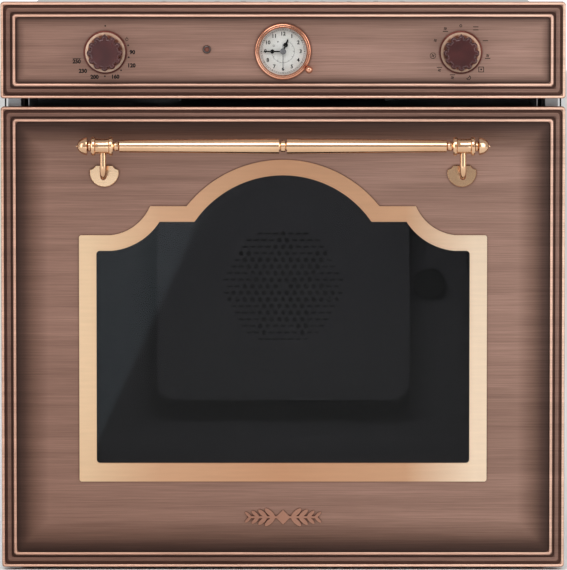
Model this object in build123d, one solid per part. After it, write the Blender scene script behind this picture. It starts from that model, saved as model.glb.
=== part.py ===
from build123d import *
import math
import os

# A built-in wall oven, 60 cm class. Millimetres, +Z up, the front faces -Y.
# The origin is at the middle of the overall box, on the plane that the oven stands on.

# Overall sizes
front_width = 597.0         # door and control panel
door_height = 489.2
fascia_height = 101.6
panel_gap = 9.2             # between the door and the control panel
door_lift = 2.5             # the door's bottom edge above the base plane
case_width = 558.0
case_height = 588.0
case_depth = 520.0          # behind the cabinet's face
frame_width = 590.0
terminal_depth = 26.0       # the terminal box behind the rear cover
field_stand = 21.0          # the panels' flat field in front of the cabinet's face
bar_stand = 45.0            # the handle's axis in front of the flat field

# Sheet and glass
sheet = 1.2                 # case, liner and bracket sheet
frame_sheet = 1.5
wall = 1.5                  # side walls of the door and of the control panel
glass_thick = 4.0
middle_glass_thick = 3.0

# Edge moulding of both panels, measured inwards from the outer edge
bead_width = 2.9
bead_rise = 3.0
band_inset = 6.0
band_width = 4.2
band_rise = 1.8
cove_rise = 0.7
inner_bead_inset = 12.8
inner_bead_width = 2.9
inner_bead_rise = 2.2
outer_corner = 2.8
inner_corner = 4.0

# Window and its trim
window_half = 216.1         # outer half width of the trim
window_bottom = 93.6
shoulder_height = 355.9
step_height = 386.7
scoop_x = 187.7             # centre of the concave arc beside each shoulder
scoop_height = 406.6
scoop_radius = 51.0
crown_radius = 130.3
crown_centre = 305.7
trim_band = 16.6
trim_band_side = 18.4
trim_band_bottom = 19.9
trim_thick = 2.2
trim_corner = 2.6
window_corner = 3.8

# Controls
knob_x = 187.8
control_height = 549.5
escutcheon_radius = 22.8
escutcheon_thick = 2.4
knob_radius = 18.9
knob_length = 22.0
knob_gap = 0.8              # between a knob and its escutcheon
knob_lobes = 12
lobe_radius = 3.6
cap_radius = 13.8
cap_length = 2.6
disc_radius = 9.4
disc_thick = 1.4
shaft_radius = 3.0
shaft_clearance = 2.0       # round a shaft where it passes through sheet metal
running_clearance = 0.05
body_size = 38.0            # thermostat and selector bodies
body_depth = 34.0
clock_height = 550.5
bezel_radius = 29.7
dial_radius = 24.8
bezel_depth = 8.0
lamp_x = -80.5
lamp_height = 552.5
lamp_radius = 4.3
pin_x = 27.5
pin_height = 531.5
pin_ball = 3.9
pin_radius = 1.5
pin_travel = 3.0

# Handle
bar_height = 452.7
bar_half = 171.8
bar_end_radius = 6.65
bar_mid_radius = 8.0
stem_x = 189.2
stem_radius = 3.4
stem_root_height = 419.5
stem_bend = 12.0
rosette_height = 422.5
rosette_radius = 15.4
rosette_thick = 3.0
rosette_flat = 7.5          # the flat top above the rosette's centre
finial_radius = 9.75
ferrule_radius = 10.0
waist_radius = 7.8

ornament_height = 55.5
ornament_rise = 1.6

# Oven cavity
cavity_half = 225.0
cavity_floor = 90.0
cavity_top = 445.0
rear_space = 106.0          # behind the cavity, for the fan motor
recess_depth = 14.0         # the liner's front face behind the cabinet's face
cavity_corner = 14.0
recess_side = 37.0          # from the cavity's opening out to the door's recess
recess_below = 58.0
recess_above = 37.0
insulation_thick = 25.0
element_gap = 14.0          # under the cavity floor, for the bottom element
tube_radius = 3.5           # heating elements
wire_radius = 2.2           # side racks
rack_inset = 22.0           # from the cavity's wall to a rack's inner runs

# Fan
fan_height = 270.0
fan_radius = 68.0
fan_shaft_radius = 4.0
cover_inset = 83.0          # from the cavity's wall to the fan cover
cover_height = 256.0
cover_depth = 36.0
cover_corner = 20.0
grille_radius = 66.0
ring_radius = 84.0
lamp_inset = 60.0           # from the cavity's wall to the lamp
oven_lamp_radius = 18.0

# Cooling air
duct_height = 14.0
duct_side = 8.0             # the duct beyond the recess on each side
duct_length = 230.0
blower_half = 115.0
blower_depth = 80.0
blower_height = 62.0
rotor_radius = 26.0

# Hinges
hinge_inset = 17.0          # from the recess's side to a hinge arm
hinge_stand = 12.0          # the pivot in front of the cabinet's face
hinge_rise = 6.0            # the pivot above the door's bottom edge
arm_thick = 4.0
arm_radius = 5.0
hinge_pin_radius = 2.5
door_rear_gap = 4.5         # from the door's rear edge to the cabinet's face
inner_frame_gap = 6.0       # round the inner frame in the recess, at the sides
inner_frame_low_gap = 4.0
inner_frame_high_gap = 5.0
inner_frame_reach = 8.0     # the inner frame behind the cabinet's face

# Cabinet screws, terminal box and cable gland
screw_inset = 9.0           # from the front frame's edge
screw_low = 90.0
screw_span = 360.0
screw_hole_radius = 2.5
gland_radius = 10.0
gland_bore = 4.5
gland_length = 18.0

# Worked out from the sizes above
half_case = case_width / 2
cavity_depth = case_depth - recess_depth - rear_space
recess_half = cavity_half + recess_side
recess_bottom = cavity_floor - recess_below
recess_top = cavity_top + recess_above
rack_x = cavity_half - rack_inset
oven_lamp_x = cavity_half - lamp_inset
cover_half = cavity_half - cover_inset
duct_half = recess_half + duct_side
duct_bottom = recess_top + 4
duct_top = duct_bottom + duct_height
hinge_x = recess_half - hinge_inset
inner_frame_half = recess_half - inner_frame_gap
inner_frame_bottom = recess_bottom + inner_frame_low_gap
inner_frame_top = recess_top - inner_frame_high_gap
screw_x = frame_width / 2 - screw_inset
total_depth = field_stand + bar_stand + ferrule_radius + case_depth + terminal_depth
y_cab = field_stand + bar_stand + ferrule_radius - total_depth / 2
y_field = y_cab - field_stand
y_bar = y_field - bar_stand
y_rear = y_cab + case_depth
y_liner = y_cab + recess_depth
y_back = y_liner + cavity_depth
y_cover = y_back - cover_depth
door_top = door_lift + door_height
fascia_bottom = door_top + panel_gap
pivot_y = y_cab - hinge_stand
pivot_z = door_lift + hinge_rise


def block(x0, x1, y0, y1, z0, z1):
    # a box between two corners
    centre = Pos((x0 + x1) / 2, (y0 + y1) / 2, (z0 + z1) / 2)
    return centre * Box(x1 - x0, y1 - y0, z1 - z0)


def slab(sketch, y0, y1):
    # an X-Z outline made solid between two depths
    return extrude(Plane.XZ.offset(-y1) * sketch, amount=y1 - y0)


def rod_y(x, z, radius, y0, y1):
    return slab(Pos(x, z) * Circle(radius), y0, y1)


def rod_x(y, z, radius, x0, x1):
    return Pos((x0 + x1) / 2, y, z) * Rot(0, 90, 0) * Cylinder(radius, x1 - x0)


def tube_along(points, radius, bend):
    # a round tube along straight runs joined by arcs
    path = FilletPolyline(*points, radius=bend)
    start = Plane(origin=path @ 0, z_dir=path % 0)
    return sweep(start * Circle(radius), path=path)


def turned(outline, x, y, z):
    # an outline of (along, radius) points turned about the X direction
    face = make_face(Polyline(*outline, close=True))
    return Pos(x, y, z) * revolve(face, axis=Axis.X)


def group(solids):
    return Compound(children=solids)


def front_ring(bottom, height, inset, width, rise, corner, rounding):
    # one raised frame of the edge moulding, rounded on its front edges
    middle = bottom + height / 2
    outside = RectangleRounded(front_width - 2 * inset, height - 2 * inset, corner)
    inset_2 = inset + width
    corner_2 = max(corner - width, 0.8)
    inside = RectangleRounded(front_width - 2 * inset_2, height - 2 * inset_2, corner_2)
    ring = slab(Pos(0, middle) * (outside - inside), y_field - rise, y_field + sheet / 2)
    return fillet(ring.edges().group_by(Axis.Y)[0], rounding)


def pressed_front(bottom, height, rear):
    # a pressed sheet front: flat field, beaded edge and side walls
    middle = bottom + height / 2
    outline = RectangleRounded(front_width, height, outer_corner)
    hollow = RectangleRounded(front_width - 2 * wall, height - 2 * wall, outer_corner - wall)
    shape = slab(Pos(0, middle) * outline, y_field, rear)
    shape -= slab(Pos(0, middle) * hollow, y_field + sheet, rear)
    cove_width = inner_bead_inset
    shape += front_ring(bottom, height, 0.6, cove_width, cove_rise, outer_corner, 0.3)
    shape += front_ring(bottom, height, 0, bead_width, bead_rise, outer_corner, 1.35)
    shape += front_ring(bottom, height, band_inset, band_width, band_rise, inner_corner, 0.9)
    shape += front_ring(bottom, height, inner_bead_inset, inner_bead_width, inner_bead_rise, inner_corner, 1.35)
    return shape


def window_outline(band, side, foot, corner):
    # the arched outline of the trim, moved inwards by its band widths
    half = window_half - side
    low = window_bottom + foot
    shoulder = shoulder_height - band
    step = step_height - band
    shape = Pos(0, (low + shoulder) / 2) * Rectangle(2 * half, shoulder - low)
    step_block = Pos(0, (shoulder + step) / 2) * Rectangle(2 * scoop_x, step - shoulder + 0.02)
    for side_x in (-scoop_x, scoop_x):
        step_block -= Pos(side_x, scoop_height) * Circle(scoop_radius + band)
    shape += step_block
    shape += Pos(0, crown_centre) * Circle(crown_radius - band)
    foot_corners = shape.vertices().filter_by(lambda v: abs(abs(v.X) - half) < 0.1)
    return fillet(foot_corners, corner)


# ---- outer case

def base_pan():
    pan = block(-half_case, half_case, y_cab, y_rear, 0, sheet)
    for row in range(3):
        for column in range(5):
            x = -160 + 80 * column
            y = y_cab + 180 + 90 * row
            pan -= block(x - 25, x + 25, y - 3, y + 3, 0, sheet)
    return pan


def side_panel(side):
    outer = side * half_case
    inner = side * (half_case - sheet)
    panel = block(min(outer, inner), max(outer, inner), y_cab, y_rear, sheet, case_height - sheet)
    for louvre in range(8):
        y = y_rear - 60 - 22 * louvre
        panel -= block(-case_width, case_width, y - 3, y + 3, case_height - 80, case_height - 30)
    return panel


def top_panel():
    panel = block(-half_case, half_case, y_cab, y_rear, case_height - sheet, case_height)
    for vent in range(10):
        x = -135 + 30 * vent
        panel -= block(x - 3, x + 3, y_rear - 120, y_rear - 60, case_height - sheet, case_height)
    return panel


def screw_places():
    edge = 14
    rows = [edge, case_height / 2, case_height - edge]
    return [(side * (half_case - edge), z) for side in (-1, 1) for z in rows]


screw_radius = 2.0


def rear_cover():
    inside = half_case - sheet
    cover = block(-inside, inside, y_rear - sheet, y_rear, sheet, case_height - sheet)
    for column in range(14):
        x = -130 + 20 * column
        cover -= block(x - 3, x + 3, y_rear - sheet, y_rear, 60, 130)
    for x, z in screw_places():
        cover -= rod_y(x, z, screw_radius + 0.1, y_rear - sheet, y_rear)
    return cover


def case_screws():
    screws = []
    for x, z in screw_places():
        head = rod_y(x, z, 4.0, y_rear, y_rear + 2.2)
        head += rod_y(x, z, screw_radius, y_rear - 8, y_rear)
        head -= block(x - 2.6, x + 2.6, y_rear + 1.2, y_rear + 2.2, z - 0.5, z + 0.5)
        head -= block(x - 0.5, x + 0.5, y_rear + 1.2, y_rear + 2.2, z - 2.6, z + 2.6)
        screws.append(head)
    return group(screws)


def arm_slot(side, y0, y1, z1):
    # room for a hinge arm, with space on both sides of it
    half = arm_thick / 2 + 2.5
    return block(side * hinge_x - half, side * hinge_x + half, y0, y1, -1, z1)


arm_top = 26.0
control_opening = (half_case - 31, control_height - 41.5, control_height + 26.5)
outlet_half = duct_half + 3.8


def front_frame():
    front = y_cab - frame_sheet
    frame = block(-frame_width / 2, frame_width / 2, front, y_cab, sheet, case_height)
    frame += block(-recess_half - sheet, recess_half + sheet, y_cab, y_liner + sheet,
                   recess_bottom - sheet, recess_top + sheet)
    frame -= block(-recess_half, recess_half, front, y_liner + sheet, recess_bottom, recess_top)
    half, low, high = control_opening
    frame -= block(-half, half, front, y_cab, low, high)
    frame -= block(-outlet_half, outlet_half, front, y_cab, duct_bottom, duct_top)
    for side in (-1, 1):
        for inset in (17.8, 2.6):
            x = side * (frame_width / 2 - inset)
            frame -= block(x - 1, x + 1, front, y_cab, duct_bottom, duct_top)
        for z in (screw_low, screw_low + screw_span):
            frame -= rod_y(side * screw_x, z, screw_hole_radius, front, y_cab)
        frame -= arm_slot(side, front, y_cab, arm_top + 2)
    return frame


def terminal_box():
    low = case_height - 110
    box = block(150, 235, y_rear, y_rear + terminal_depth, low, low + 80)
    box -= block(152, 233, y_rear, y_rear + terminal_depth - 2, low + 2, low + 78)
    box -= Pos(192.5, y_rear + terminal_depth / 2, low) * Cylinder(gland_radius - 2.5, 10)
    return box


def cable_gland():
    top = case_height - 110
    y = y_rear + terminal_depth / 2
    gland = Pos(192.5, y, top - gland_length / 2 + 4) * Cylinder(gland_radius - 2.6, gland_length)
    gland += Pos(192.5, y, top - 6) * extrude(RegularPolygon(gland_radius, 6), amount=6)
    gland -= Pos(192.5, y, top) * Cylinder(gland_bore, 3 * gland_length)
    return gland


# ---- oven cavity

def liner_block(grow, front):
    # the cavity's space with rounded edges, grown by a sheet thickness for the outside
    half = cavity_half + grow
    shape = block(-half, half, front, y_back + grow, cavity_floor - grow, cavity_top + grow)
    along = shape.edges().filter_by(Axis.Y)
    shape = fillet(along, cavity_corner + grow)
    back = shape.edges().group_by(Axis.Y)[-1]
    return fillet(back, cavity_corner - 4 + grow)


def cavity_liner():
    liner = liner_block(sheet, y_liner)
    flange_half = recess_half - 0.2
    liner += block(-flange_half, flange_half, y_liner, y_liner + sheet, recess_bottom + 0.2, recess_top - 0.2)
    middle_y = y_liner + cavity_depth / 2 - 10
    pad_width = 2 * (cavity_half - 55)
    pad_depth = cavity_depth - 110
    outline = RectangleRounded(pad_width, pad_depth, 60)
    pad = Pos(0, middle_y, cavity_floor - 4) * extrude(outline, amount=5)
    liner += pad
    liner -= liner_block(0, y_liner - 1)
    hollow = RectangleRounded(pad_width - 2 * sheet, pad_depth - 2 * sheet, 60 - sheet)
    dish = Pos(0, middle_y, cavity_floor - 4 + sheet) * extrude(hollow, amount=3)
    liner -= dish
    liner -= rod_y(0, fan_height, fan_shaft_radius + shaft_clearance, y_back - 1, y_back + 2 * sheet)
    liner -= rod_y(oven_lamp_x, fan_height, oven_lamp_radius - 2, y_back - 1, y_back + 2 * sheet)
    for x, z in element_leads():
        liner -= rod_y(x, z, tube_radius + 0.6, y_back - 1, y_back + 2 * sheet)
    return liner


probe_x = -150.0
probe_height = cavity_top - 8.0
probe_radius = 2.4
grill_height = cavity_top - 24.0
grill_lead = 25.0
ring_lead = 16.0


def element_leads():
    # where tubes pass through the cavity's back wall
    leads = [(side * grill_lead, grill_height) for side in (-1, 1)]
    leads += [(side * ring_lead, fan_height + ring_radius + 14) for side in (-1, 1)]
    leads.append((probe_x, probe_height))
    return leads


def insulation():
    gap = sheet + 0.6
    inner_half = cavity_half + gap
    low = cavity_floor - sheet - element_gap
    high = cavity_top + gap
    thick = insulation_thick
    front = y_liner + 2 * sheet
    wool = block(-inner_half - thick, inner_half + thick, front, y_back + gap + thick, low - thick, high + thick)
    wool -= block(-inner_half, inner_half, front, y_back + gap, low, high)
    wool -= rod_y(0, fan_height, 46, y_back, y_back + gap + thick)
    wool -= rod_y(oven_lamp_x, fan_height, oven_lamp_radius + 3, y_back, y_back + gap + thick)
    for x, z in element_leads():
        wool -= rod_y(x, z, tube_radius + 1, y_back, y_back + gap + thick)
    return wool


def door_gasket():
    middle = (cavity_floor + cavity_top) / 2
    height = cavity_top - cavity_floor
    outside = RectangleRounded(2 * cavity_half + 26, height + 26, 24)
    inside = RectangleRounded(2 * cavity_half + 8, height + 8, 16)
    front = y_cab + inner_frame_reach + 0.4
    gasket = slab(Pos(0, middle) * (outside - inside), front, y_liner)
    return fillet(gasket.edges().group_by(Axis.Y)[0], 2.4)


def star_radius(angle):
    # reach of a seven-pointed star at an angle from the top
    point = 2 * math.pi / 7
    along = abs((angle + point / 2) % point - point / 2) / (point / 2)
    return grille_radius - 2 - 34 * along


def grille_holes():
    # round holes inside the star, short slots outside it
    holes = []
    pitch = 8.6
    rows = int(grille_radius / (pitch * math.sqrt(3) / 2))
    for row in range(-rows, rows + 1):
        for column in range(-9, 10):
            x = (column + 0.5 * (row % 2)) * pitch
            z = row * pitch * math.sqrt(3) / 2
            reach = math.hypot(x, z)
            if reach > grille_radius or reach < 5:
                continue
            if reach < star_radius(math.atan2(x, z)):
                hole = Circle(2.7)
            else:
                hole = SlotOverall(6.0, 2.0)
            holes.append(slab(Pos(x, fan_height + z) * hole, y_cover - 1, y_cover + 2 * sheet))
    return holes


def eye_outline(radius, half_height):
    return Circle(radius) + Rectangle(2 * cover_half - 24, 2 * half_height)


def fan_cover():
    outline = Pos(0, fan_height) * RectangleRounded(2 * cover_half, cover_height, cover_corner)
    inside = Pos(0, fan_height) * RectangleRounded(
        2 * (cover_half - sheet), cover_height - 2 * sheet, cover_corner - sheet)
    cover = slab(outline, y_cover, y_back) - slab(inside, y_cover + sheet, y_back)
    eye = eye_outline(97, 52) - eye_outline(91, 46)
    cover += slab(Pos(0, fan_height) * eye, y_cover - 1.6, y_cover)
    cover += slab(Pos(0, fan_height) * (Circle(81) - Circle(76)), y_cover - 1.6, y_cover)
    cover -= grille_holes()
    return cover


def hot_air_fan():
    front = y_cover + 8
    back = y_back - 6
    fan = rod_y(0, fan_height, fan_radius, back - 1.5, back)
    fan += rod_y(0, fan_height, 9, front + 4, back)
    fan += rod_y(0, fan_height, fan_shaft_radius, front, y_back + 40)
    for blade in range(10):
        blank = block(-1, 1, front + 4, back - 1, 34, fan_radius - 1)
        fan += Pos(0, 0, fan_height) * Rot(0, 36 * blade, 0) * blank
    return fan


def fan_motor():
    front = y_back + sheet
    motor = rod_y(0, fan_height, 42, front, front + 2)
    motor += rod_y(0, fan_height, 30, front + 2, front + 60)
    motor += rod_y(0, fan_height, 36, front + 22, front + 44)
    motor -= rod_y(0, fan_height, fan_shaft_radius + running_clearance, front, y_back + 42)
    return motor


def ring_element():
    y = y_back - 18
    top = fan_height + ring_radius
    half_gap = math.degrees(math.asin(ring_lead / ring_radius))
    arc = CenterArc((0, 0), ring_radius, 90 + half_gap, 360 - 2 * half_gap)
    loop_path = Plane.XZ.offset(-y) * (Pos(0, fan_height) * arc)
    start = Plane(origin=loop_path @ 0, z_dir=loop_path % 0)
    element = sweep(start * Circle(tube_radius), path=loop_path)
    end_height = fan_height + math.sqrt(ring_radius ** 2 - ring_lead ** 2)
    for side in (-1, 1):
        riser = Pos(side * ring_lead, y, (end_height + top + 14) / 2)
        element += riser * Cylinder(tube_radius, top + 14 - end_height)
        element += Pos(side * ring_lead, y, end_height) * Sphere(tube_radius)
        element += Pos(side * ring_lead, y, top + 14) * Sphere(tube_radius)
        element += rod_y(side * ring_lead, top + 14, tube_radius, y, y_back + 30)
    return element


def grill_element():
    y_front = y_liner + 55
    y_turn = y_back - 120
    reach = cavity_half - 35
    inner = 40
    middle = (reach + inner) / 2
    half = [(grill_lead, y_back + 30), (grill_lead, y_back - 62), (reach, y_back - 62), (reach, y_front),
            (middle, y_front), (middle, y_turn), (inner, y_turn), (inner, y_front)]
    points = [(-x, y, grill_height) for x, y in half]
    points += [(x, y, grill_height) for x, y in reversed(half)]
    return tube_along(points, tube_radius, 18)


def bottom_element():
    z = cavity_floor - sheet - element_gap / 2 - 2
    y_front = y_liner + 60
    y_end = y_back - 40
    reach = cavity_half - 55
    half = [(30, y_end), (30, y_end - 60), (reach, y_end - 60), (reach, y_front)]
    points = [(-x, y, z) for x, y in half]
    points += [(x, y, z) for x, y in reversed(half)]
    return tube_along(points, tube_radius, 24)


rack_levels = 5


def side_rack(side):
    x = side * rack_x
    wall_x = side * cavity_half
    y_front = y_liner + 45
    y_end = y_cover - 18
    low = cavity_floor + 36
    pitch = 58.0
    height = pitch * (rack_levels - 1) + 22
    rack = None
    for y in (y_front, y_end):
        upright = Pos(x + side * 8, y, low + height / 2 - 5) * Cylinder(wire_radius, height + 30)
        foot = rod_x(y, low - 8, wire_radius, min(x + side * 8, wall_x), max(x + side * 8, wall_x))
        head = rod_x(y, low + height - 4, wire_radius, min(x + side * 8, wall_x), max(x + side * 8, wall_x))
        piece = upright + foot + head
        rack = piece if rack is None else rack + piece
    for level in range(rack_levels):
        for drop in (0, 22):
            z = low + pitch * level + drop
            run = [(x + side * 8, y_front, z), (x, y_front, z), (x, y_end, z), (x + side * 8, y_end, z)]
            rack += tube_along(run, wire_radius, 5)
    return rack


def lamp_holder():
    holder = rod_y(oven_lamp_x, fan_height, oven_lamp_radius - 2.5, y_back - 3, y_back + 40)
    holder += rod_y(oven_lamp_x, fan_height, oven_lamp_radius + 1, y_back + sheet, y_back + sheet + 3)
    return holder


def lamp_lens():
    lens = rod_y(oven_lamp_x, fan_height, oven_lamp_radius, y_back - 18, y_back)
    lens = fillet(lens.edges().group_by(Axis.Y)[0], 8)
    lens -= rod_y(oven_lamp_x, fan_height, oven_lamp_radius - 2.5, y_back - 12, y_back)
    return lens


def temperature_probe():
    probe = rod_y(probe_x, probe_height, probe_radius, y_back - 150, y_back + 35)
    return fillet(probe.edges().group_by(Axis.Y)[0], 1.5)


# ---- cooling air

def air_duct():
    gap = 0.3
    duct = block(-duct_half, duct_half, y_cab + gap, y_cab + duct_length, duct_bottom - 1, duct_top + 1)
    duct += block(-duct_half - 6, duct_half + 6, y_liner + 2 * sheet, y_rear - 100, duct_bottom - 2, duct_bottom - 1)
    duct -= block(-duct_half + 1, duct_half - 1, y_cab, y_cab + duct_length, duct_bottom, duct_top)
    return duct


blower_front = duct_length
rotor_height = 516.0


def blower_box():
    y0 = y_cab + blower_front
    low = duct_bottom - 1
    return block(-blower_half, blower_half, y0, y0 + blower_depth, low, low + blower_height)


def blower_housing():
    y0 = y_cab + blower_front
    y_axis = y0 + blower_depth / 2
    inside = blower_half - 3
    housing = blower_box()
    housing -= rod_x(y_axis, rotor_height, rotor_radius + 2, -inside, inside)
    housing -= block(-inside, inside, y0, y_axis, duct_bottom, duct_top)
    housing -= block(-inside, inside, y_axis - 16, y_axis + 16, rotor_height, rotor_height + 40)
    housing -= rod_x(y_axis, rotor_height, shaft_radius + running_clearance, -blower_half, blower_half)
    return housing


def blower_rotor():
    y_axis = y_cab + blower_front + blower_depth / 2
    inside = blower_half - 5
    rotor = rod_x(y_axis, rotor_height, shaft_radius, -blower_half, blower_half + 20)
    for x in (-inside, -1, inside - 2):
        rotor += rod_x(y_axis, rotor_height, rotor_radius, x, x + 2)
    blades = 20
    for blade in range(blades):
        bar = block(-inside, inside, -0.6, 0.6, rotor_radius - 7, rotor_radius - 0.5)
        rotor += Pos(0, y_axis, rotor_height) * Rot(360 / blades * blade, 0, 0) * bar
    return rotor


def blower_motor():
    y_axis = y_cab + blower_front + blower_depth / 2
    motor = rod_x(y_axis, rotor_height, 22, blower_half, blower_half + 45)
    motor += rod_x(y_axis, rotor_height, 29, blower_half + 10, blower_half + 30)
    motor -= rod_x(y_axis, rotor_height, shaft_radius + running_clearance, blower_half, blower_half + 22)
    return motor


# ---- controls

def fascia_panel():
    panel = pressed_front(fascia_bottom, fascia_height, y_cab - frame_sheet)
    hole = shaft_radius + shaft_clearance
    for side in (-1, 1):
        panel -= rod_y(side * knob_x, control_height, hole, y_field - 1, y_field + sheet)
    panel -= rod_y(0, clock_height, dial_radius - 4, y_field - 1, y_field + sheet)
    panel -= rod_y(lamp_x, lamp_height, lamp_radius - 1, y_field - 1, y_field + sheet)
    panel -= rod_y(pin_x, pin_height, pin_radius + 0.1, y_field - 1, y_field + sheet)
    return panel


def control_bracket():
    half, low, high = control_opening
    bracket = block(-half - 14, half + 14, y_cab, y_cab + sheet, low - 5, high + 8)
    hole = shaft_radius + shaft_clearance
    for side in (-1, 1):
        bracket -= rod_y(side * knob_x, control_height, hole, y_cab, y_cab + sheet)
    bracket -= rod_y(0, clock_height, 6, y_cab, y_cab + sheet)
    bracket -= rod_y(pin_x, pin_height, pin_radius + 0.5, y_cab, y_cab + sheet)
    return bracket


def switch_body(x):
    front = y_cab + sheet
    half = body_size / 2
    body = block(x - half, x + half, front, front + body_depth, control_height - half, control_height + half)
    body = fillet(body.edges().filter_by(Axis.Y), 4)
    for column in (-10, 0, 10):
        body += block(x + column - 2, x + column + 2, front + body_depth, front + body_depth + 9,
                      control_height - 0.6, control_height + 0.6)
    body -= rod_y(x, control_height, shaft_radius + running_clearance, front, front + body_depth - 8)
    return body


def knob_escutcheons():
    rings = []
    hole = shaft_radius + shaft_clearance
    for side in (-1, 1):
        ring = rod_y(side * knob_x, control_height, escutcheon_radius, y_field - escutcheon_thick, y_field)
        ring = fillet(ring.edges().group_by(Axis.Y)[0], 1.2)
        ring -= rod_y(side * knob_x, control_height, hole, y_field - escutcheon_thick, y_field)
        rings.append(ring)
    return group(rings)


knob_back = y_field - escutcheon_thick - knob_gap
knob_front = knob_back - knob_length


def lobed_knob(x):
    reach = knob_radius - lobe_radius
    outline = Circle(reach + 0.6)
    for lobe in range(knob_lobes):
        angle = math.radians(360 / knob_lobes * lobe)
        outline += Pos(reach * math.sin(angle), reach * math.cos(angle)) * Circle(lobe_radius)
    tip = knob_radius + 1.2
    outline += make_face(Polyline((-2.6, knob_radius - 1.4), (2.6, knob_radius - 1.4), (0, tip), close=True))
    place = Plane.XZ.offset(-knob_back) * Pos(x, control_height)
    knob = extrude(place * outline, amount=knob_length - 2)
    crown = Plane.XZ.offset(2 - knob_front) * Pos(x, control_height)
    knob += extrude(crown * outline, amount=2, taper=40)
    knob += rod_y(x, control_height, cap_radius, knob_front - cap_length, knob_front)
    knob = fillet(knob.edges().group_by(Axis.Y)[0], 1.2)
    knob -= rod_y(x, control_height, disc_radius, knob_front - cap_length, knob_front - cap_length + disc_thick)
    knob -= rod_y(x, control_height, shaft_radius, knob_front + 6, knob_back)
    return knob


def knob_disc(x):
    front = knob_front - cap_length
    return rod_y(x, control_height, disc_radius, front + 0.1, front + disc_thick)


def knob_shaft(x):
    return rod_y(x, control_height, shaft_radius, knob_front + 6, y_cab + sheet + body_depth - 10)


def clock_bezel():
    step = (bezel_radius - dial_radius) / 2
    outer = rod_y(0, clock_height, bezel_radius, y_field - bezel_depth + 3, y_field)
    outer = fillet(outer.edges().group_by(Axis.Y)[0], 2)
    inner = rod_y(0, clock_height, bezel_radius - step, y_field - bezel_depth, y_field)
    inner = fillet(inner.edges().group_by(Axis.Y)[0], 1)
    bezel = outer + inner
    bezel -= rod_y(0, clock_height, dial_radius, y_field - bezel_depth, y_field)
    return bezel


hour_arbor = 2.0
minute_arbor = 1.5
timer_arbor = 1.0
dial_thick = 1.0
hand_thick = 0.6


def clock_dial():
    dial = rod_y(0, clock_height, dial_radius - 0.05, y_field - dial_thick, y_field)
    dial -= rod_y(0, clock_height, hour_arbor + running_clearance, y_field - dial_thick, y_field)
    return dial


def clock_glass():
    front = y_field - bezel_depth + 1
    return rod_y(0, clock_height, dial_radius - 0.05, front, front + 1.2)


def clock_hand(arbor, bore, level, length, width, blob, tail, angle):
    # a hand with its arbor; it points up before it is turned to its angle
    front = y_field - dial_thick - level
    outline = Circle(3.2) + Pos(0, (length - tail) / 2) * Rectangle(width, length + tail)
    if blob > 0:
        outline += Pos(0, length * 0.55) * Circle(blob)
    hand = slab(Pos(0, clock_height) * Rot(0, 0, -angle) * outline, front - hand_thick, front)
    hand += rod_y(0, clock_height, arbor, front, y_cab + sheet + 12)
    if bore > 0:
        hand -= rod_y(0, clock_height, bore, front - hand_thick, y_cab + sheet + 12)
    return hand


hour_angle = 22.5           # a quarter to one
minute_angle = 270.0
timer_angle = 180.0


def hour_hand():
    return clock_hand(hour_arbor, minute_arbor + running_clearance, 0.8, 13.5, 1.6, 2.4, 3, hour_angle)


def minute_hand():
    return clock_hand(minute_arbor, timer_arbor + running_clearance, 2.0, 20.5, 1.3, 2.2, 3, minute_angle)


def timer_hand():
    return clock_hand(timer_arbor, 0, 3.2, 20.0, 0.8, 0, 8, timer_angle)


def clock_movement():
    front = y_cab + sheet
    body = block(-31, 31, front, front + 30, clock_height - 31, clock_height + 31)
    body = fillet(body.edges().filter_by(Axis.Y), 6)
    body -= rod_y(0, clock_height, hour_arbor + running_clearance, front, front + 14)
    body -= rod_y(pin_x, pin_height, pin_radius + 0.1, front, front + 30)
    return body


def pilot_lamp():
    lamp = rod_y(lamp_x, lamp_height, lamp_radius, y_field - 2.6, y_field)
    lamp = fillet(lamp.edges().group_by(Axis.Y)[0], 1.6)
    lamp += rod_y(lamp_x, lamp_height, lamp_radius - 1.2, y_field, y_field + 14)
    return lamp


def setting_pin():
    centre = y_field - pin_travel - 8
    pin = Pos(pin_x, centre, pin_height) * Sphere(pin_ball)
    pin += rod_y(pin_x, pin_height, pin_radius, centre, y_cab + sheet + 14)
    pin += rod_y(pin_x, pin_height, pin_radius + 1.2, centre + pin_ball - 0.8, centre + pin_ball + 1.2)
    return pin


# ---- hinges

def hinge_arms():
    arms = []
    bar_low = pivot_z - arm_radius
    y_foot = y_cab + 20
    y_end = y_cab + 140
    outline = Polyline((pivot_y, bar_low), (y_end, bar_low), (y_end, arm_top), (y_foot, arm_top),
                       (y_cab + 4, pivot_z + arm_radius), (pivot_y, pivot_z + arm_radius), close=True)
    flat = make_face(outline) + Pos(pivot_y, pivot_z) * Circle(arm_radius)
    flat -= Pos(pivot_y, pivot_z) * Circle(hinge_pin_radius + running_clearance)
    for side in (-1, 1):
        place = Plane.YZ.offset(side * hinge_x - arm_thick / 2)
        arms.append(extrude(place * flat, amount=arm_thick))
    return group(arms)


channel_gap = 0.6
channel_sheet = 2.0
channel_top = window_bottom - 16.0      # under the window's glasses


def hinge_channels():
    channels = []
    low = door_lift + wall + 0.2
    front = y_cab - 18.6
    back = y_cab - door_rear_gap - 2.5
    for side in (-1, 1):
        x = side * hinge_x
        inner = arm_thick / 2 + channel_gap
        outer = inner + channel_sheet
        channel = block(x - outer, x + outer, front, back, low, channel_top)
        channel -= block(x - inner, x + inner, front, back, low, pivot_z + 12)
        channel -= block(x - inner, x + inner, front + channel_sheet, back, low, channel_top + 1)
        channel += rod_x(pivot_y, pivot_z, hinge_pin_radius, x - outer, x + outer)
        channels.append(channel)
    return group(channels)


# ---- door

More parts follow.
